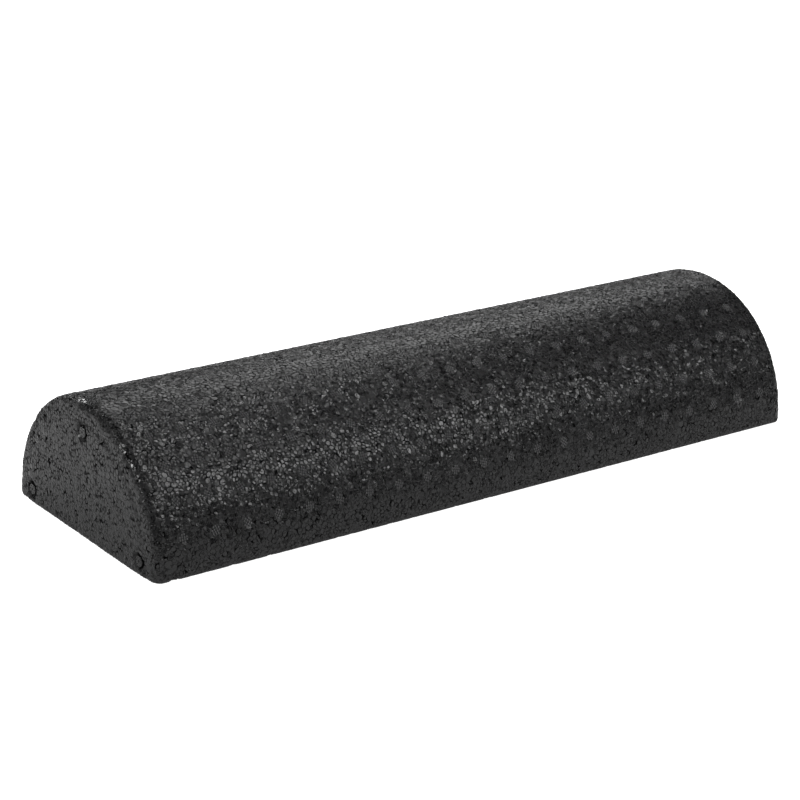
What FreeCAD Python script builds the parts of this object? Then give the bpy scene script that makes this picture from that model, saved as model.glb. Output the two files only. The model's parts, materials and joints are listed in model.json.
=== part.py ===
# Half-round foam roller: one moulding of fused polypropylene beads.
# Frame: X along the roller, Y across it, Z up. Origin at the middle of the flat face.
import FreeCAD, Part
import math
import os

# Driving dimensions, in millimetres
length = 457.2          # 18 in, over the raised pads of the two ends
radius = 76.2           # half of 6 in, the curved face
side_rise = 2.35        # short upright strip between the flat face and the curve
rim_fillet = 4.9        # round edge between each end and the curved face
base_fillet = 1.6       # round edge of the flat face
pad_radius = 65.0       # outline of the raised pad that the mould's end plate leaves
pad_rise = 0.6          # how far that pad stands out of the end

end_vent_radius = 4.5   # round vent mark on an end, outer edge of its ring
end_vent_ring = 1.0     # width of that ring
end_vent_dimple = 0.9   # radius of the dimple in the middle of a mark
end_vent_depth = 0.6
end_vent_circle = 58.9  # the three marks stand on this radius from the curve's axis
end_vent_lift = 5.4     # degrees that the two low marks stand above the axis

vent_radius = 2.8       # round vent mark on the curved face and on the flat face
vent_depth = 0.3
vent_pitch = 20.0       # from mark to mark along a row, and from row to row on the flat face
vent_count = 22         # marks in a row
vent_step = 15          # degrees from row to row round the curve
base_vent_rows = 7      # rows on the flat face

body_length = length - 2 * pad_rise
half_body = body_length / 2
reach = 5.0             # how far a cutter or a pad goes past the surface it works on
tiny = 1e-6


def centred_steps(count, pitch):
    """Places of count marks, pitch apart, centred on zero."""
    first = -pitch * (count - 1) / 2
    return [first + number * pitch for number in range(count)]


def half_round(outline_radius, depth):
    """Half-round prism along X from x = 0, with its flat side down on z = 0."""
    left_foot = FreeCAD.Vector(0, -outline_radius, 0)
    right_foot = FreeCAD.Vector(0, outline_radius, 0)
    left_shoulder = FreeCAD.Vector(0, -outline_radius, side_rise)
    right_shoulder = FreeCAD.Vector(0, outline_radius, side_rise)
    crown = FreeCAD.Vector(0, 0, side_rise + outline_radius)
    outline = Part.Wire([
        Part.makeLine(left_foot, right_foot),
        Part.makeLine(right_foot, right_shoulder),
        Part.Arc(right_shoulder, crown, left_shoulder).toShape(),
        Part.makeLine(left_shoulder, left_foot),
    ])
    return Part.Face(outline).extrude(FreeCAD.Vector(depth, 0, 0))


def is_rim_edge(edge):
    """An edge of an end face that isn't its straight foot."""
    box = edge.BoundBox
    on_end = box.XLength < tiny and abs(abs(box.Center.x) - half_body) < tiny
    return on_end and box.ZLength > tiny


def is_foot_edge(edge):
    """An edge of the flat face."""
    box = edge.BoundBox
    return box.ZLength < tiny and abs(box.Center.z) < tiny


def blank():
    """The half-round block with its rims and its foot rounded."""
    block = half_round(radius, body_length)
    block.translate(FreeCAD.Vector(-half_body, 0, 0))
    block = block.makeFillet(rim_fillet, [edge for edge in block.Edges if is_rim_edge(edge)])
    return block.makeFillet(base_fillet, [edge for edge in block.Edges if is_foot_edge(edge)])


def end_pads():
    """The raised pad on each end, whose foot stays sharp where it meets the flat face."""
    pads = []
    for start in (-length / 2, length / 2 - reach):
        pad = half_round(pad_radius, reach)
        pad.translate(FreeCAD.Vector(start, 0, 0))
        pads.append(pad)
    return pads


def end_vents():
    """Cutters for the ring and the middle dimple of the three vent marks on each end."""
    cutters = []
    for side in (-1, 1):
        outward = FreeCAD.Vector(side, 0, 0)
        floor_x = side * (length / 2 - end_vent_depth)
        for angle in (end_vent_lift, 90, 180 - end_vent_lift):
            turn = math.radians(angle)
            y = end_vent_circle * math.cos(turn)
            z = side_rise + end_vent_circle * math.sin(turn)
            place = FreeCAD.Vector(floor_x, y, z)
            outer = Part.makeCylinder(end_vent_radius, reach, place, outward)
            inner = Part.makeCylinder(end_vent_radius - end_vent_ring, reach, place, outward)
            cutters.append(outer.cut(inner))
            cutters.append(Part.makeCylinder(end_vent_dimple, reach, place, outward))
    return cutters


def curve_vents():
    """Cutters for the shallow round vent marks, row by row round the curved face."""
    cutters = []
    for angle in range(vent_step, 180, vent_step):
        turn = math.radians(angle)
        outward = FreeCAD.Vector(0, math.cos(turn), math.sin(turn))
        for x in centred_steps(vent_count, vent_pitch):
            place = FreeCAD.Vector(x, 0, side_rise) + outward * (radius - vent_depth)
            cutters.append(Part.makeCylinder(vent_radius, reach, place, outward))
    return cutters


def base_vents():
    """Cutters for the same marks on the flat face."""
    cutters = []
    down = FreeCAD.Vector(0, 0, -1)
    for x in centred_steps(vent_count, vent_pitch):
        for y in centred_steps(base_vent_rows, vent_pitch):
            cutters.append(Part.makeCylinder(vent_radius, reach, FreeCAD.Vector(x, y, vent_depth), down))
    return cutters


def foam_body():
    """The whole roller: block, end pads, then all vent marks."""
    body = blank().fuse(end_pads())
    return body.cut(end_vents() + curve_vents() + base_vents()).Solids[0]


os.makedirs("parts", exist_ok=True)
roller = foam_body()
roller.exportStep("parts/foam_body.step")

box = roller.optimalBoundingBox()
print("valid", roller.isValid(), "closed", roller.isClosed(), "faces", len(roller.Faces))
print("size", round(box.XLength, 2), round(box.YLength, 2), round(box.ZLength, 2))
print("volume litres", round(roller.Volume / 1e6, 4))
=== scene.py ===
import json
import math

import bpy
import numpy as np
from mathutils import Matrix, Quaternion, Vector

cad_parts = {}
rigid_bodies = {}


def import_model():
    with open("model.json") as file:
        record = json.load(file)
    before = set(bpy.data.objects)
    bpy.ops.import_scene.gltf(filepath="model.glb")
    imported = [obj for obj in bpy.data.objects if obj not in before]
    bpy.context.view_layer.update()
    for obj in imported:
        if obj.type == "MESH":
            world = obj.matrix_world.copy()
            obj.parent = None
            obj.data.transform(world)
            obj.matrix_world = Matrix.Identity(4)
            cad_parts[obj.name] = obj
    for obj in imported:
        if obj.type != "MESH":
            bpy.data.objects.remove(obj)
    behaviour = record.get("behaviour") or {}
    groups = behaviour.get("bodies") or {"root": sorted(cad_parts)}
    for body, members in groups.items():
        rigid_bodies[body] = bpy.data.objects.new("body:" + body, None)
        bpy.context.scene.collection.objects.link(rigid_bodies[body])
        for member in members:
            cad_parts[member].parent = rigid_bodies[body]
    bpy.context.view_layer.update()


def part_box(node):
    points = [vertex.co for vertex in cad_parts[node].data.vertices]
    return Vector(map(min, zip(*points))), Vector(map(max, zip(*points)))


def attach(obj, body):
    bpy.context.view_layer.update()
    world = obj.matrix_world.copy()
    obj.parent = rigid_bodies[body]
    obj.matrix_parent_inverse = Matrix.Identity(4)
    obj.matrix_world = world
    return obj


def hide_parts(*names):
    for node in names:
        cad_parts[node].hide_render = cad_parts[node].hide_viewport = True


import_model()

# the roller's own sizes in metres, from the CAD node and the mould's fixed details
rollerLow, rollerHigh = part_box("foam_body")
rollerLength = rollerHigh.x - rollerLow.x
curveRadius = (rollerHigh.y - rollerLow.y) / 2
sideRise = rollerHigh.z - curveRadius  # short upright strip below the curve
padRise = 0.0006  # the end pads stand this far out of the ends
endPlane = rollerLength / 2 - padRise
tiny = 1e-6


def onlySelect(piece):
    bpy.ops.object.select_all(action="DESELECT")
    piece.select_set(True)
    bpy.context.view_layer.objects.active = piece


def startEdit(piece, mode):
    onlySelect(piece)
    bpy.ops.object.mode_set(mode="EDIT")
    bpy.ops.mesh.select_mode(type=mode)
    bpy.ops.mesh.select_all(action="DESELECT")


def endEdit():
    bpy.ops.object.mode_set(mode="OBJECT")


def editChosen(piece, mode, chosen):
    # opens the piece in edit mode with the chosen points, edges or faces selected
    startEdit(piece, mode)
    endEdit()
    parts = {"VERT": piece.data.vertices, "EDGE": piece.data.edges, "FACE": piece.data.polygons}
    parts[mode].foreach_set("select", chosen)
    bpy.ops.object.mode_set(mode="EDIT")


def chooseEdges(piece, isWanted):
    # the wanted edges are asked for by their two end points
    points = piece.data.vertices
    ends = [[points[i].co for i in edge.vertices] for edge in piece.data.edges]
    editChosen(piece, "EDGE", [isWanted(a, b) for a, b in ends])


def applyModifier(piece, kind, **settings):
    onlySelect(piece)
    modifier = piece.modifiers.new("made", kind)
    for name, value in settings.items():
        setattr(modifier, name, value)
    bpy.ops.object.modifier_apply(modifier=modifier.name)


def readFrom(parts, name, width, dtype):
    # a built-in value of every point, edge, face or corner, width numbers for each
    values = np.zeros(len(parts) * width, dtype)
    parts.foreach_get(name, values)
    return values


def pointsOf(mesh):
    return readFrom(mesh.vertices, "co", 3, float).reshape(-1, 3)


def cornersOfFaces(mesh):
    # how many corners each face has, and the point at each corner, face after face
    sizes = readFrom(mesh.polygons, "loop_total", 1, np.int32)
    corners = readFrom(mesh.loops, "vertex_index", 1, np.int32)
    return sizes, corners


def movePoints(mesh, places):
    mesh.vertices.foreach_set("co", places.ravel())
    mesh.update()


def giveValues(mesh, name, kind, domain, values):
    layer = mesh.attributes.new(name, kind, domain)
    layer.data.foreach_set("value", values)


def readValues(mesh, name, count, dtype):
    values = np.zeros(count, dtype)
    mesh.attributes[name].data.foreach_get("value", values)
    return values


def softStep(value):
    value = np.clip(value, 0, 1)
    return value * value * (3 - 2 * value)


def fromHex(code):
    # sRGB hex to linear colour
    parts = [int(code[i:i + 2], 16) / 255 for i in (0, 2, 4)]
    return tuple(p / 12.92 if p <= 0.04045 else ((p + 0.055) / 1.055) ** 2.4 for p in parts) + (1.0,)


def addNode(tree, kind, settings=(), inputs=(), links=()):
    # one node with its settings, its socket values, and links as (input, other node, other output)
    node = tree.nodes.new(kind)
    for name, value in dict(settings).items():
        setattr(node, name, value)
    for name, value in dict(inputs).items():
        node.inputs[name].default_value = value
    for name, other, output in links:
        tree.links.new(other.outputs[output], node.inputs[name])
    return node


cameraSettings = {
    "azimuth": -37.01,  # degrees, from the front towards the left end
    "elevation": 20.27,
    "roll": 1.81,
    "distance": 1.399,
    "aim": (-0.0107, 0.0067, 0.0351),
    "lens": 105.9,
    "sensor": 36.0,
}


def makeCamera(settings):
    azimuth = math.radians(settings["azimuth"])
    elevation = math.radians(settings["elevation"])
    back = Vector((
        math.sin(azimuth) * math.cos(elevation),
        -math.cos(azimuth) * math.cos(elevation),
        math.sin(elevation),
    ))
    data = bpy.data.cameras.new("studioCamera")
    data.lens = settings["lens"]
    data.sensor_width = settings["sensor"]
    camera = bpy.data.objects.new("studioCamera", data)
    bpy.context.scene.collection.objects.link(camera)
    camera.rotation_mode = "QUATERNION"
    camera.location = Vector(settings["aim"]) + back * settings["distance"]
    turn = Quaternion((0, 0, 1), math.radians(settings["roll"]))
    camera.rotation_quaternion = (-back).to_track_quat("-Z", "Y") @ turn
    bpy.context.scene.camera = camera


makeCamera(cameraSettings)
print("camera ready")


# the smooth block that the beads are laid on
blockSettings = {
    "curveSteps": 240,  # sides of the full circle that the half-round is cut from
    "rimFillet": 0.0049,
    "rimSteps": 8,
    "footFillet": 0.0016,
    "footSteps": 4,
}


def isOnEnd(point):
    return abs(abs(point.x) - endPlane) < tiny


def isRim(a, b):
    sameEnd = isOnEnd(a) and isOnEnd(b) and a.x * b.x > 0
    acrossEnd = abs(a.z - b.z) < tiny and abs(a.y - b.y) > curveRadius
    return sameEnd and not acrossEnd


def makeBlock(settings):
    bpy.ops.object.select_all(action="DESELECT")
    bpy.ops.mesh.primitive_cylinder_add(
        vertices=settings["curveSteps"], radius=curveRadius, depth=2 * endPlane,
        location=(0, 0, sideRise), rotation=(0, math.pi / 2, 0))
    block = bpy.context.object
    block.name = "smooth_block"
    bpy.ops.object.transform_apply(location=True, rotation=True, scale=True)
    startEdit(block, "EDGE")
    bpy.ops.mesh.select_all(action="SELECT")
    bpy.ops.mesh.bisect(plane_co=(0, 0, sideRise), plane_no=(0, 0, 1), clear_inner=True)
    endEdit()
    chooseEdges(block, lambda a, b: abs(a.z - sideRise) < tiny and abs(b.z - sideRise) < tiny)
    bpy.ops.mesh.extrude_region_move(TRANSFORM_OT_translate={"value": (0, 0, -sideRise)})
    bpy.ops.mesh.edge_face_add()  # the flat face
    bpy.ops.mesh.select_all(action="SELECT")
    bpy.ops.mesh.normals_make_consistent(inside=False)
    endEdit()
    chooseEdges(block, isRim)
    bpy.ops.mesh.bevel(
        offset=settings["rimFillet"], segments=settings["rimSteps"], affect="EDGES",
        clamp_overlap=False)
    endEdit()
    chooseEdges(block, lambda a, b: a.z < tiny and b.z < tiny)
    bpy.ops.mesh.bevel(
        offset=settings["footFillet"], segments=settings["footSteps"], affect="EDGES",
        clamp_overlap=False)
    endEdit()
    return block


block = makeBlock(blockSettings)
print("smooth block ready")


# the fused beads
beadSettings = {
    "pitch": 0.0024,  # one bead to the next, before some are merged
    "scatter": 0.0013,  # how far a bead's centre strays from an even lattice
    "merged": 0.16,  # share of beads swallowed by their neighbours, which leaves some large ones
    "seed": 8,
    "relief": 0.00042,  # the gaps lie this far below the moulded surface
    # share of corners, seed, and how far they stand out (+) or sink (-), which tilts the beads
    "tilts": ((0.45, 11, 0.00013), (0.12, 12, -0.00018)),
    # share of beads, gap half-width, and how far the bead's wall rises out of its gap
    "beads": ((0.08, 0.00024, 0.00022), (0.32, 0.00018, 0.00031), (0.60, 0.00013, 0.00036)),
    "shoulders": ((0.00013, 0.00005), (0.00012, 0.00001)),  # width and rise of each step to the top
    "closed": (0.42, 0.00022),  # share of gap corners where beads are fused, and their lift
    "closedShade": 0.35,  # how dark the painted shade of a closed gap is against an open one
    "lean": 0.06,  # slope of a bead's top against the moulded surface
    "wrinkle": 0.00005,  # how far single points stray, which roughens the tops
    "wrinkleSeed": 3,
    "smoothing": 0.3,  # evens out the points before the cells are made
    "topWeight": 80,  # how strongly large faces hold their normals, which keeps the tops flat
}

# pin-holes where beads did not quite meet
pitSettings = {
    # share of corners, depth, and how much further apart the beads' edges are drawn
    "curve": ((0.16, 0.0005, 0.5), (0.09, 0.0010, 1.2)),
    "ends": ((0.10, 0.0006, 0.8), (0.15, 0.0012, 1.7)),
    "edgeDip": 0.12,  # share of the depth that the edges round a pit sink by
    "seed": 21,
}

# the beads lie flatter on the end faces, and quite flat along the foot
calmSettings = {
    "ends": 0.4,  # how far the end faces are drawn back to the smooth block
    "depth": 0.0009,  # how far in from the end plane still counts as the end
    "footLow": 0.0006,  # flat up to this height, and fading out above it
    "footFade": 0.0022,
    "inset": 0.0015,  # the same on the flat face, inwards from its outline
    "steps": 10,
    "gapCalm": 0.8,  # share of a gap's painted shade that goes where the beads are quite flat
}


def strewPoints(piece, settings):
    # one point for each bead, strewn over the block, with even triangles between them
    onlySelect(piece)
    piece.data.remesh_voxel_size = settings["pitch"]
    bpy.ops.object.voxel_remesh()
    startEdit(piece, "VERT")
    bpy.ops.mesh.select_all(action="SELECT")
    bpy.ops.transform.vertex_random(
        offset=settings["scatter"], uniform=0, normal=0, seed=settings["seed"])
    bpy.ops.mesh.quads_convert_to_tris(quad_method="BEAUTY", ngon_method="BEAUTY")
    bpy.ops.mesh.select_all(action="DESELECT")
    bpy.ops.mesh.select_random(ratio=settings["merged"], seed=settings["seed"])
    bpy.ops.mesh.dissolve_verts()
    endEdit()
    applyModifier(piece, "SHRINKWRAP", target=block, wrap_method="NEAREST_SURFACEPOINT")
    startEdit(piece, "VERT")
    bpy.ops.mesh.select_all(action="SELECT")
    bpy.ops.mesh.quads_convert_to_tris(quad_method="BEAUTY", ngon_method="BEAUTY")
    bpy.ops.mesh.beautify_fill(angle_limit=math.pi)
    bpy.ops.mesh.vertices_smooth(factor=settings["smoothing"], repeat=1)
    bpy.ops.mesh.beautify_fill(angle_limit=math.pi)
    endEdit()
    applyModifier(piece, "SHRINKWRAP", target=block, wrap_method="NEAREST_SURFACEPOINT")


def pointsToCells(piece):
    # one many-sided cell for each point
    tree = bpy.data.node_groups.new("beadCells", "GeometryNodeTree")
    tree.interface.new_socket("Geometry", in_out="INPUT", socket_type="NodeSocketGeometry")
    tree.interface.new_socket("Geometry", in_out="OUTPUT", socket_type="NodeSocketGeometry")
    source = addNode(tree, "NodeGroupInput")
    dual = addNode(tree, "GeometryNodeDualMesh", links=[("Mesh", source, "Geometry")])
    addNode(tree, "NodeGroupOutput", links=[("Geometry", dual, "Dual Mesh")])
    applyModifier(piece, "NODES", node_group=tree)


def sinkCorners(piece, settings):
    # the corners where cells meet go below the surface, some more and some less
    startEdit(piece, "VERT")
    bpy.ops.mesh.select_all(action="SELECT")
    bpy.ops.transform.shrink_fatten(value=-settings["relief"])
    for share, seed, lift in settings["tilts"]:
        bpy.ops.mesh.select_all(action="DESELECT")
        bpy.ops.mesh.select_random(ratio=share, seed=seed)
        bpy.ops.transform.shrink_fatten(value=lift)
    endEdit()


def leanTops(piece, isTop, slope, draw):
    # each bead top leans its own way, as the beads settle unevenly against the mould
    mesh = piece.data
    points = pointsOf(mesh)
    faceCount = len(mesh.polygons)
    sizes, corners = cornersOfFaces(mesh)
    centres = readFrom(mesh.polygons, "center", 3, np.float32).reshape(-1, 3)
    normals = readFrom(mesh.polygons, "normal", 3, np.float32).reshape(-1, 3)
    faces = np.repeat(np.arange(faceCount), sizes)
    onTop = isTop[faces]
    faces, corners = faces[onTop], corners[onTop]
    lean = draw.normal(0, slope, (faceCount, 3))
    reach = points[corners] - centres[faces]
    rise = (reach * lean[faces]).sum(1)
    points[corners] += normals[faces] * rise[:, None]
    movePoints(mesh, points)


def cellsToBeads(piece, settings, draw):
    # every cell becomes a bead: a steep wall out of its gap, a rounded edge and a flat top
    mesh = piece.data
    shares = [share for share, gap, rise in settings["beads"]]
    cellCount = len(mesh.polygons)
    giveValues(mesh, "beadKind", "INT", "FACE", draw.choice(len(shares), cellCount, p=shares))
    top = len(shares)
    done = top + 1
    for number, (share, gap, rise) in enumerate(settings["beads"]):
        kinds = readValues(mesh, "beadKind", len(mesh.polygons), np.int32)
        editChosen(piece, "FACE", kinds == number)
        bpy.ops.mesh.inset(use_individual=True, thickness=gap, depth=rise)
        endEdit()
        stillChosen = readFrom(mesh.polygons, "select", 1, bool)
        kinds = readValues(mesh, "beadKind", len(mesh.polygons), np.int32)
        kinds[kinds == number] = done
        kinds[stillChosen] = top
        mesh.attributes["beadKind"].data.foreach_set("value", kinds)
    isTop = readValues(mesh, "beadKind", len(mesh.polygons), np.int32) == top
    leanTops(piece, isTop, settings["lean"], draw)
    editChosen(piece, "FACE", isTop)
    for width, rise in settings["shoulders"]:
        bpy.ops.mesh.inset(use_individual=True, thickness=width, depth=rise)
    endEdit()
    mesh.attributes.remove(mesh.attributes["beadKind"])


def closeGaps(piece, cornerCount, settings, draw):
    # where beads are fused, the gap comes up almost to their tops; gaps start as the first points
    share, lift = settings["closed"]
    pointCount = len(piece.data.vertices)
    closed = np.zeros(pointCount, bool)
    closed[:cornerCount] = draw.random(cornerCount) < share
    editChosen(piece, "VERT", closed)
    bpy.ops.transform.shrink_fatten(value=lift)
    endEdit()
    # painted shade in the gaps: full at the corners of open gaps, and weaker where the beads are
    # fused
    shade = np.zeros(pointCount)
    shade[:cornerCount] = 1.0
    shade[closed] = settings["closedShade"]
    giveValues(piece.data, "gap", "FLOAT", "POINT", shade)


def calmBeads(piece, block, settings):
    # draws the beads back to the smooth block by a share that depends on the place
    points = pointsOf(piece.data)
    fromEnd = endPlane - np.abs(points[:, 0])
    fromSide = curveRadius - np.abs(points[:, 1])
    height = points[:, 2]
    onFlat = height < settings["footLow"]
    inward = np.minimum(fromEnd, fromSide) - settings["inset"]
    fade = np.where(onFlat, inward, height - settings["footLow"]) / settings["footFade"]
    share = np.maximum(1 - softStep(fade), settings["ends"] * (fromEnd < settings["depth"]))
    levels = np.round(share * settings["steps"]).astype(int)
    group = piece.vertex_groups.new(name="calm")
    for level in range(1, settings["steps"] + 1):
        group.add(np.flatnonzero(levels == level).tolist(), level / settings["steps"], "REPLACE")
    applyModifier(piece, "SHRINKWRAP", target=block, wrap_method="NEAREST_SURFACEPOINT",
                  vertex_group="calm")
    piece.vertex_groups.clear()
    # the painted gap shade is weakened where the beads are drawn flat
    gap = readValues(piece.data, "gap", len(points), np.float32) * (
        1 - settings["gapCalm"] * share)
    piece.data.attributes["gap"].data.foreach_set("value", gap)


def openPits(piece, cornerCount, settings, calm):
    # a corner where beads did not meet is pulled in, the beads' edges round it drawn apart, and the
    # pit painted with full shade
    draw = np.random.default_rng(settings["seed"])
    mesh = piece.data
    points = pointsOf(mesh)
    normals = readFrom(mesh.vertex_normals, "vector", 3, np.float32).reshape(-1, 3)
    gap = readValues(mesh, "gap", len(points), np.float32)
    edges = np.sort(readFrom(mesh.edges, "vertices", 2, np.int32).reshape(-1, 2), axis=1)
    spokes = edges[(edges[:, 0] < cornerCount) & (edges[:, 1] >= cornerCount)]
    # from a wall's top point to the one inside it on the shoulder, and on to the bead's top
    follow = np.zeros(len(points), np.int32)
    np.maximum.at(follow, edges[:, 0], edges[:, 1])
    corners = points[:cornerCount]
    onEnd = endPlane - np.abs(corners[:, 0]) < calm["depth"]
    allowed = corners[:, 2] > calm["footLow"] + calm["footFade"]
    for name, here in (("curve", ~onEnd & allowed), ("ends", onEnd & allowed)):
        for share, depth, widen in settings[name]:
            chosen = here & (draw.random(cornerCount) < share)
            inner, outer = spokes[chosen[spokes[:, 0]]].T
            apart = points[outer] - points[inner]
            upright = normals[inner] * (apart * normals[inner]).sum(1)[:, None]
            shift = (apart - upright) * widen
            points[outer] += shift - normals[inner] * depth * settings["edgeDip"]
            points[follow[outer]] += shift
            points[follow[follow[outer]]] += shift
            # painted shade on the pit and its edges
            gap[outer] = 1.0
            pulled = np.flatnonzero(chosen)
            points[pulled] -= normals[pulled] * depth
            gap[pulled] = 1.0
    movePoints(mesh, points)
    mesh.attributes["gap"].data.foreach_set("value", gap)


def makeBeads(block, settings):
    beads = block.copy()
    beads.data = block.data.copy()
    bpy.context.scene.collection.objects.link(beads)
    beads.name = "foam_roller"
    draw = np.random.default_rng(settings["seed"])
    strewPoints(beads, settings)
    pointsToCells(beads)
    beadCount = len(beads.data.polygons)
    cornerCount = len(beads.data.vertices)
    giveValues(beads.data, "beadTone", "FLOAT", "FACE", draw.random(beadCount))
    sinkCorners(beads, settings)
    cellsToBeads(beads, settings, draw)
    closeGaps(beads, cornerCount, settings, draw)
    calmBeads(beads, block, calmSettings)
    openPits(beads, cornerCount, pitSettings, calmSettings)
    startEdit(beads, "VERT")
    bpy.ops.mesh.select_all(action="SELECT")
    bpy.ops.transform.vertex_random(
        offset=settings["wrinkle"], uniform=0, normal=0, seed=settings["wrinkleSeed"])
    endEdit()
    print("beads", beadCount, "faces", len(beads.data.polygons))
    return beads


beads = makeBeads(block, beadSettings)
bpy.data.objects.remove(block)


# what the mould's end plates leave: a raised pad with a sharp, straight foot
padSettings = {
    "radius": 0.065,  # outline of the pad, from the curve's axis
    "crease": 0.00005,  # depth of the fine line round it
    "creaseWidth": 0.0022,
    "footBlend": 0.004,  # length over which the sharp foot gives way to the rim
    "depth": 0.002,  # how far in from the end plane points still move with the pad
}


def raisePads(piece, settings):
    places = pointsOf(piece.data)
    side = np.sign(places[:, 0])
    x = np.abs(places[:, 0])
    y, z = places[:, 1], places[:, 2]
    within = settings["radius"] - np.hypot(y, np.maximum(z - sideRise, 0))
    # the quarter-round of the foot is pushed out into its corner, up to where the rim turns
    foot = blockSettings["footFillet"]
    out, down = x - (endPlane - foot), foot - z
    inFoot = (out > 0) & (down > 0)
    isUpper = inFoot & (out >= down)
    isLower = inFoot & (out < down)
    sharpX = np.where(isUpper, endPlane, x)
    sharpZ = np.where(isUpper, foot - foot * down / np.maximum(out, tiny), z)
    sharpX = np.where(isLower, endPlane - foot + foot * out / np.maximum(down, tiny), sharpX)
    sharpZ = np.where(isLower, 0, sharpZ)
    rimStart = curveRadius - blockSettings["rimFillet"]
    share = softStep((rimStart - np.abs(y)) / settings["footBlend"] + 0.5)
    x += (sharpX - x) * share
    z = np.maximum(z + (sharpZ - z) * share, 0)
    # the pad stands out, with a fine crease round it
    rise = padRise * softStep(within / settings["creaseWidth"])
    line = settings["crease"] * np.exp(-(within / settings["creaseWidth"]) ** 2)
    x = np.where(x > endPlane - settings["depth"], np.minimum(x + rise, rollerLength / 2) - line, x)
    movePoints(piece.data, np.stack([side * x, y, z], 1))


raisePads(beads, padSettings)
print("end pads ready")


# round marks of the steam vents: patches of small nubs over the curved and the flat face
ventSettings = {
    "pitch": 0.020,
    "perRow": 22,
    "step": 15,  # degrees from row to row round the curve
    "baseRows": 7,
    "radius": 0.0028,  # outline of a mark
    "nubs": 4,  # nubs along each side, less the corners
    "nubPitch": 0.0014,
    # a nub rounds off in three steps: each goes in by a width and up by a rise
    "nubSteps": ((0.00012, 0.00022), (0.00020, 0.00014), (0.00022, 0.00009)),
    "thickness": 0.0008,
    "level": -0.00047,  # the valleys between the nubs against the moulded surface
    "bedShade": 0.4,  # how dark the painted shade on the bed of a mark is against an open gap
    "bed": 0.00055,  # the beads under a mark are pressed down by this
    "seed": 5,
}

# larger vents on the ends: a ring with a dimpled button left standing in it
endVentSettings = {
    "circle": 0.0589,  # the marks stand on this radius from the curve's axis
    "lift": 5.4,  # degrees that the two low marks stand above the axis
    "recess": 0.0046,  # outline of the sunk ring, painted dark as shade
    "recessDepth": 0.0015,
    # how dark the painted shade in the sunk ring is
    "recessShade": 1.0,
    "buttonRadius": 0.0032,
    "buttonSides": 40,
    "settle": 0.0001,  # the button lies this far below the pad
    "thickness": 0.0018,
    "shoulder": 0.00045,
    "shoulderSteps": 3,
    "dimple": 0.0008,
    "dimpleDepth": 0.0007,
    "dimpleSides": 16,
    "smallDimple": 0.00045,
    "smallCount": 6,
    "smallCircle": 0.0021,
}

# the bed that the beads are pressed down to; reach and edge are shares of its radius
bedSettings = {
    "reach": 1.1,
    "edge": 0.1,
    "height": 0.0018,  # points further than this above or below the surface are left alone
}


def centredSteps(count, pitch):
    return [(number - (count - 1) / 2) * pitch for number in range(count)]


def ventPlaces(settings):
    # centre on the moulded surface, and outward direction
    places = []
    for angle in range(settings["step"], 180, settings["step"]):
        turn = math.radians(angle)
        outward = Vector((0, math.cos(turn), math.sin(turn)))
        for x in centredSteps(settings["perRow"], settings["pitch"]):
            places.append((Vector((x, 0, sideRise)) + outward * curveRadius, outward))
    for y in centredSteps(settings["baseRows"], settings["pitch"]):
        for x in centredSteps(settings["perRow"], settings["pitch"]):
            places.append((Vector((x, y, 0)), Vector((0, 0, -1))))
    return places


def endVentPlaces(settings):
    places = []
    for side in (-1, 1):
        for angle in (settings["lift"], 90, 180 - settings["lift"]):
            turn = math.radians(angle)
            y = settings["circle"] * math.cos(turn)
            z = sideRise + settings["circle"] * math.sin(turn)
            places.append((Vector((side * (endPlane + padRise), y, z)), Vector((side, 0, 0))))
    return places


def pressBeds(piece, places, radius, depth, shade):
    # presses the beads down to an even bed under each mark, and paints shade over the bed
    mesh = piece.data
    points = pointsOf(mesh)
    gaps = readValues(mesh, "gap", len(points), np.float32)
    alongX = np.argsort(points[:, 0])
    sortedX = points[alongX, 0]
    for centre, outward in places:
        first, last = np.searchsorted(sortedX, (centre.x - radius * 2, centre.x + radius * 2))
        near = alongX[first:last]
        local = points[near] - np.array(centre)
        height = local @ np.array(outward)
        aside = np.linalg.norm(local - height[:, None] * np.array(outward), axis=1)
        inside = (radius * bedSettings["reach"] - aside) / (radius * bedSettings["edge"])
        pressed = softStep(inside) * (np.abs(height) < bedSettings["height"])
        move = (-depth - height) * pressed
        points[near] = local + np.array(centre) + move[:, None] * np.array(outward)
        gaps[near] = np.maximum(gaps[near], pressed * shade)
    movePoints(mesh, points)
    mesh.attributes["gap"].data.foreach_set("value", gaps)


nubTone = 2.0  # bead tones run from 0 to 1, so this one tells the nubs apart


def makeVentMark(settings):
    # a round patch of small square nubs, where foam was drawn into the vent's slots
    cells = settings["nubs"]
    bpy.ops.object.select_all(action="DESELECT")
    bpy.ops.mesh.primitive_grid_add(
        x_subdivisions=cells, y_subdivisions=cells, size=cells * settings["nubPitch"])
    mark = bpy.context.object
    reach = (cells / 2 - 1) * settings["nubPitch"]
    corners = [min(abs(f.center.x), abs(f.center.y)) > reach for f in mark.data.polygons]
    editChosen(mark, "FACE", corners)
    bpy.ops.mesh.delete(type="FACE")
    bpy.ops.mesh.select_all(action="SELECT")
    bpy.ops.transform.translate(value=(0, 0, settings["level"] - settings["thickness"]))
    bpy.ops.mesh.extrude_region_move(
        TRANSFORM_OT_translate={"value": (0, 0, settings["thickness"])})
    for width, rise in settings["nubSteps"]:
        bpy.ops.mesh.inset(use_individual=True, thickness=width, depth=rise)
    bpy.ops.mesh.select_all(action="SELECT")
    bpy.ops.mesh.normals_make_consistent(inside=False)
    endEdit()
    # the valleys between the nubs are painted with full gap shade
    firstRise = settings["nubSteps"][0][1]
    valley = pointsOf(mark.data)[:, 2] < settings["level"] + firstRise + tiny
    giveValues(mark.data, "gap", "FLOAT", "POINT", valley.astype(float))
    giveValues(mark.data, "beadTone", "FLOAT", "FACE", np.full(len(mark.data.polygons), nubTone))
    return mark


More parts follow.
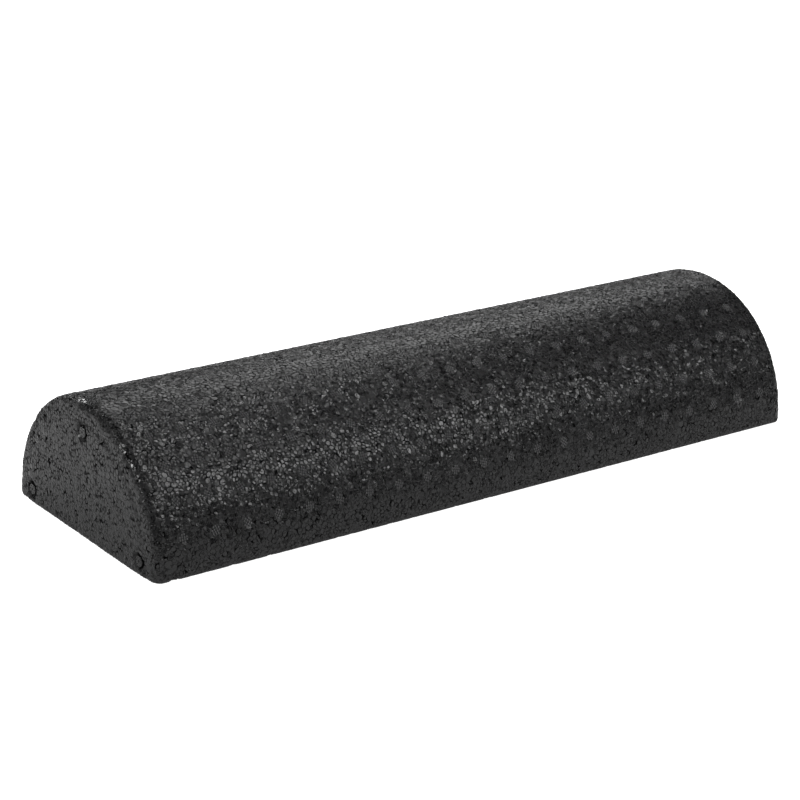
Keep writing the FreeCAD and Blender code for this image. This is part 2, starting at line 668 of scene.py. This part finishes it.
def makeEndMark(settings):
    # a round button with softened shoulders, one dimple in its middle and a circle of small ones
    bpy.ops.object.select_all(action="DESELECT")
    bpy.ops.mesh.primitive_cylinder_add(
        vertices=settings["buttonSides"], radius=settings["buttonRadius"],
        depth=settings["thickness"],
        location=(0, 0, -settings["thickness"] / 2))
    button = bpy.context.object
    bpy.ops.object.transform_apply(location=True)
    chooseEdges(button, lambda a, b: a.z > -tiny and b.z > -tiny)
    bpy.ops.mesh.bevel(
        offset=settings["shoulder"], segments=settings["shoulderSteps"], affect="EDGES")
    endEdit()
    dimples = [(0.0, 0.0, settings["dimple"])]
    for number in range(settings["smallCount"]):
        turn = 2 * math.pi * number / settings["smallCount"]
        circle = settings["smallCircle"]
        dimples.append((circle * math.cos(turn), circle * math.sin(turn), settings["smallDimple"]))
    for x, y, radius in dimples:
        bpy.ops.mesh.primitive_cylinder_add(
            vertices=settings["dimpleSides"], radius=radius, depth=2 * settings["dimpleDepth"],
            location=(x, y, 0))
        cutter = bpy.context.object
        applyModifier(button, "BOOLEAN", object=cutter, operation="DIFFERENCE", solver="EXACT")
        bpy.data.objects.remove(cutter)
    # the dimple floors are painted with full gap shade
    floorOfDimple = pointsOf(button.data)[:, 2] < -settings["dimpleDepth"] + tiny
    giveValues(button.data, "gap", "FLOAT", "POINT", floorOfDimple.astype(float))
    return button


def layCopies(mark, places, settle, draw):
    # one copy of the mark at each place, turned about its own axis
    copies = []
    for centre, outward in places:
        copy = mark.copy()
        copy.data = mark.data.copy()
        bpy.context.scene.collection.objects.link(copy)
        turn = Quaternion((0, 0, 1), draw.uniform(0, math.pi))
        way = outward.to_track_quat("Z", "Y") @ turn
        place = Matrix.Translation(centre - outward * settle)
        copy.data.transform(place @ way.to_matrix().to_4x4())
        copies.append(copy)
    bpy.data.objects.remove(mark)
    return copies


def joinTo(piece, others):
    bpy.ops.object.select_all(action="DESELECT")
    for other in others:
        other.select_set(True)
    piece.select_set(True)
    bpy.context.view_layer.objects.active = piece
    bpy.ops.object.join()


markDraw = np.random.default_rng(ventSettings["seed"])
sidePlaces = ventPlaces(ventSettings)
endPlaces = endVentPlaces(endVentSettings)
pressBeds(
    beads, sidePlaces, ventSettings["radius"], ventSettings["bed"], ventSettings["bedShade"])
pressBeds(
    beads, endPlaces, endVentSettings["recess"], endVentSettings["recessDepth"],
    endVentSettings["recessShade"])
marks = layCopies(makeVentMark(ventSettings), sidePlaces, 0, markDraw)
marks += layCopies(makeEndMark(endVentSettings), endPlaces, endVentSettings["settle"], markDraw)
joinTo(marks[0], marks[1:])
joinTo(beads, marks[:1])
print("vent marks", len(marks))


# what the three materials of the foam share or differ in
foamSettings = {
    "skin": "131314",
    "skinLight": "1c1c1d",
    # painted shade: the near-black colour for gaps, pits, mark valleys and beds, and the matt,
    # low-shine material of open gaps
    "gap": "030303",
    "openFrom": 0.75,  # how much painted gap shade a face's corners carry before it takes the painted-shade material
    "openMatt": 0.95,
    "openShine": 0.12,
    # the nubs' colour is lighter than the skin as a painted highlight
    "nub": "2a2a2b",
    "nubGloss": 0.32,
    "nubShine": 1.0,
    "ior": 1.49,  # polypropylene
    "gloss": (0.15, 0.30),  # roughness of the glossiest and the dullest beads
    "matt": 0.7,  # roughness of the specks and gaps
    "speck": 0.0018,  # metres from one speck to the next
    "speckLimits": (0.57, 0.65),  # the noise level where a speck starts, and where it is full
    "wrinkle": 0.0013,
    "wrinkleDepth": 0.00022,
}


def emptyMaterial(name):
    material = bpy.data.materials.new(name)
    material.use_nodes = True
    material.node_tree.nodes.clear()
    return material


def makePlain(name, colour, roughness, shine):
    material = emptyMaterial(name)
    tree = material.node_tree
    shader = addNode(tree, "ShaderNodeBsdfPrincipled", inputs={
        "Base Color": fromHex(colour),
        "Roughness": roughness,
        "Specular IOR Level": shine,
    })
    addNode(tree, "ShaderNodeOutputMaterial", links=[("Surface", shader, "BSDF")])
    return material


# Painted shade at the bottom of an open gap between beads: a near-black, matt, low-shine material
# that stands in for the shade falling deep in the gap, so it shows as a black dot.
def makeOpenGap(settings):
    return makePlain(
        "paintedGapShadeEPP", settings["gap"], settings["openMatt"], settings["openShine"])


# Foam drawn into the fine slots of a steam vent: the nubs get more shine than the beads round them,
# and a lighter colour as a painted highlight, so they show as a patch of bright dots.
def makeNub(settings):
    return makePlain(
        "ventNubEPPPaintedHighlight", settings["nub"], settings["nubGloss"], settings["nubShine"])


def paintFaces(piece, openFrom):
    # nubs take the third material, and faces whose corners carry strong painted gap shade the second
    mesh = piece.data
    gap = readValues(mesh, "gap", len(mesh.vertices), np.float32)
    tone = readValues(mesh, "beadTone", len(mesh.polygons), np.float32)
    sizes, corners = cornersOfFaces(mesh)
    starts = np.concatenate([[0], np.cumsum(sizes)[:-1]])
    depth = np.add.reduceat(gap[corners], starts) / sizes
    kinds = np.where(tone == nubTone, 2, 0)
    kinds[depth > openFrom] = 1
    mesh.polygons.foreach_set("material_index", kinds.astype(np.int32))


# Expanded polypropylene, black all through, steamed against a polished mould: bead tops with
# a low satin gloss that differs from bead to bead, small matt specks where steam broke the skin,
# fine wrinkles from the bead shrinking, and gaps painted near-black and matt as painted shade.
def makeBeadFoam(settings):
    material = emptyMaterial("steamMouldedBlackEPP")
    tree = material.node_tree
    place = addNode(tree, "ShaderNodeTexCoord")
    tone = addNode(tree, "ShaderNodeAttribute", {"attribute_name": "beadTone"})
    gap = addNode(tree, "ShaderNodeAttribute", {"attribute_name": "gap"})
    skin = addNode(tree, "ShaderNodeMix", {"data_type": "RGBA"}, {
        6: fromHex(settings["skin"]),
        7: fromHex(settings["skinLight"]),
    }, [(0, tone, "Fac")])
    speckNoise = addNode(tree, "ShaderNodeTexNoise", inputs={
        "Scale": 1 / settings["speck"],
        "Detail": 1.0,
    }, links=[("Vector", place, "Object")])
    speck = addNode(tree, "ShaderNodeMapRange", inputs={
        "From Min": settings["speckLimits"][0],
        "From Max": settings["speckLimits"][1],
    }, links=[("Value", speckNoise, "Fac")])
    # the random specks and the gap attribute's painted shade both darken the colour and make it matt
    specksAndGapShade = addNode(tree, "ShaderNodeMath", {"operation": "MAXIMUM"}, links=[
        (0, gap, "Fac"),
        (1, speck, "Result"),
    ])
    colour = addNode(tree, "ShaderNodeMix", {"data_type": "RGBA"}, {
        7: fromHex(settings["gap"]),
    }, [(0, specksAndGapShade, "Value"), (6, skin, 2)])
    beadGloss = addNode(tree, "ShaderNodeMapRange", inputs={
        "To Min": settings["gloss"][0],
        "To Max": settings["gloss"][1],
    }, links=[("Value", tone, "Fac")])
    roughness = addNode(tree, "ShaderNodeMix", {"data_type": "FLOAT"}, {
        3: settings["matt"],
    }, [(0, specksAndGapShade, "Value"), (2, beadGloss, "Result")])
    wrinkles = addNode(tree, "ShaderNodeTexNoise", inputs={
        "Scale": 1 / settings["wrinkle"],
        "Detail": 2.0,
    }, links=[("Vector", place, "Object")])
    bump = addNode(tree, "ShaderNodeBump", inputs={
        "Strength": 1.0,
        "Distance": settings["wrinkleDepth"],
    }, links=[("Height", wrinkles, "Fac")])
    shader = addNode(tree, "ShaderNodeBsdfPrincipled", inputs={"IOR": settings["ior"]}, links=[
        ("Base Color", colour, 2),
        ("Roughness", roughness, 0),
        ("Normal", bump, "Normal"),
    ])
    addNode(tree, "ShaderNodeOutputMaterial", links=[("Surface", shader, "BSDF")])
    return material


beads.data.materials.clear()
for makeOne in (makeBeadFoam, makeOpenGap, makeNub):
    beads.data.materials.append(makeOne(foamSettings))
paintFaces(beads, foamSettings["openFrom"])
onlySelect(beads)
bpy.ops.object.shade_smooth()
applyModifier(beads, "WEIGHTED_NORMAL", mode="FACE_AREA", weight=beadSettings["topWeight"])
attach(beads, "root")
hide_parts("foam_body")
print("material ready")


studioSettings = {
    "floorSize": 40,
    "floorColour": "f4f4f4",
    "floorMatt": 0.9,
    "floorGlow": 0.2,  # what the roller sees; the camera sees plain white
    "worldDark": 0.01,
    "worldPale": 1.0,
    # name, azimuth and elevation from the object in degrees, distance, width, height, radiance
    "lamps": (
        ("rightBox", 50.0, 35.0, 1.6, 0.90, 1.10, 1.65),
        ("frontBox", -57.0, 38.0, 1.6, 0.42, 0.90, 7.0),
        ("topStrip", -16.0, 73.0, 1.27, 0.80, 0.08, 18.0),
        ("leftFill", 180.0, 28.0, 1.6, 0.42, 0.42, 17.0),
        ("backFill", 95.0, 28.0, 1.6, 0.42, 0.42, 10.0),
    ),
    "lampAim": 0.04,  # the lamps look at this height above the floor
}


def litForCamera(tree, dark, pale, target):
    # the camera sees the pale value, and the roller is lit by the dark one
    path = addNode(tree, "ShaderNodeLightPath")
    level = addNode(tree, "ShaderNodeMapRange", inputs={
        "To Min": dark,
        "To Max": pale,
    }, links=[("Value", path, "Is Camera Ray")])
    tree.links.new(level.outputs["Result"], target)


def makeStudio(settings):
    bpy.ops.object.select_all(action="DESELECT")
    bpy.ops.mesh.primitive_plane_add(size=settings["floorSize"], location=(0, 0, 0))
    floor = bpy.context.object
    floor.name = "studio_floor"
    paint = bpy.data.materials.new("litWhiteAcrylic")
    paint.use_nodes = True
    shader = paint.node_tree.nodes["Principled BSDF"]
    shader.inputs["Base Color"].default_value = fromHex(settings["floorColour"])
    shader.inputs["Roughness"].default_value = settings["floorMatt"]
    shader.inputs["Emission Color"].default_value = (1, 1, 1, 1)
    litForCamera(
        paint.node_tree, settings["floorGlow"], settings["worldPale"],
        shader.inputs["Emission Strength"])
    floor.data.materials.append(paint)

    for name, azimuth, elevation, distance, width, height, radiance in settings["lamps"]:
        turn, lift = math.radians(azimuth), math.radians(elevation)
        outward = Vector((
            math.cos(lift) * math.cos(turn), math.cos(lift) * math.sin(turn), math.sin(lift)))
        data = bpy.data.lights.new(name, "AREA")
        data.shape = "RECTANGLE"
        data.size = width
        data.size_y = height
        data.energy = math.pi * width * height * radiance
        lamp = bpy.data.objects.new(name, data)
        bpy.context.scene.collection.objects.link(lamp)
        lamp.location = Vector((0, 0, settings["lampAim"])) + outward * distance
        lamp.rotation_euler = (-outward).to_track_quat("-Z", "Y").to_euler()
        lamp.visible_camera = False

    world = bpy.data.worlds.new("studioRoom")
    bpy.context.scene.world = world
    world.use_nodes = True
    room = world.node_tree
    background = room.nodes["Background"]
    background.inputs["Color"].default_value = (1, 1, 1, 1)
    litForCamera(
        room, settings["worldDark"], settings["worldPale"], background.inputs["Strength"])
    bpy.context.scene.view_settings.view_transform = "Standard"


makeStudio(studioSettings)
print("studio ready")
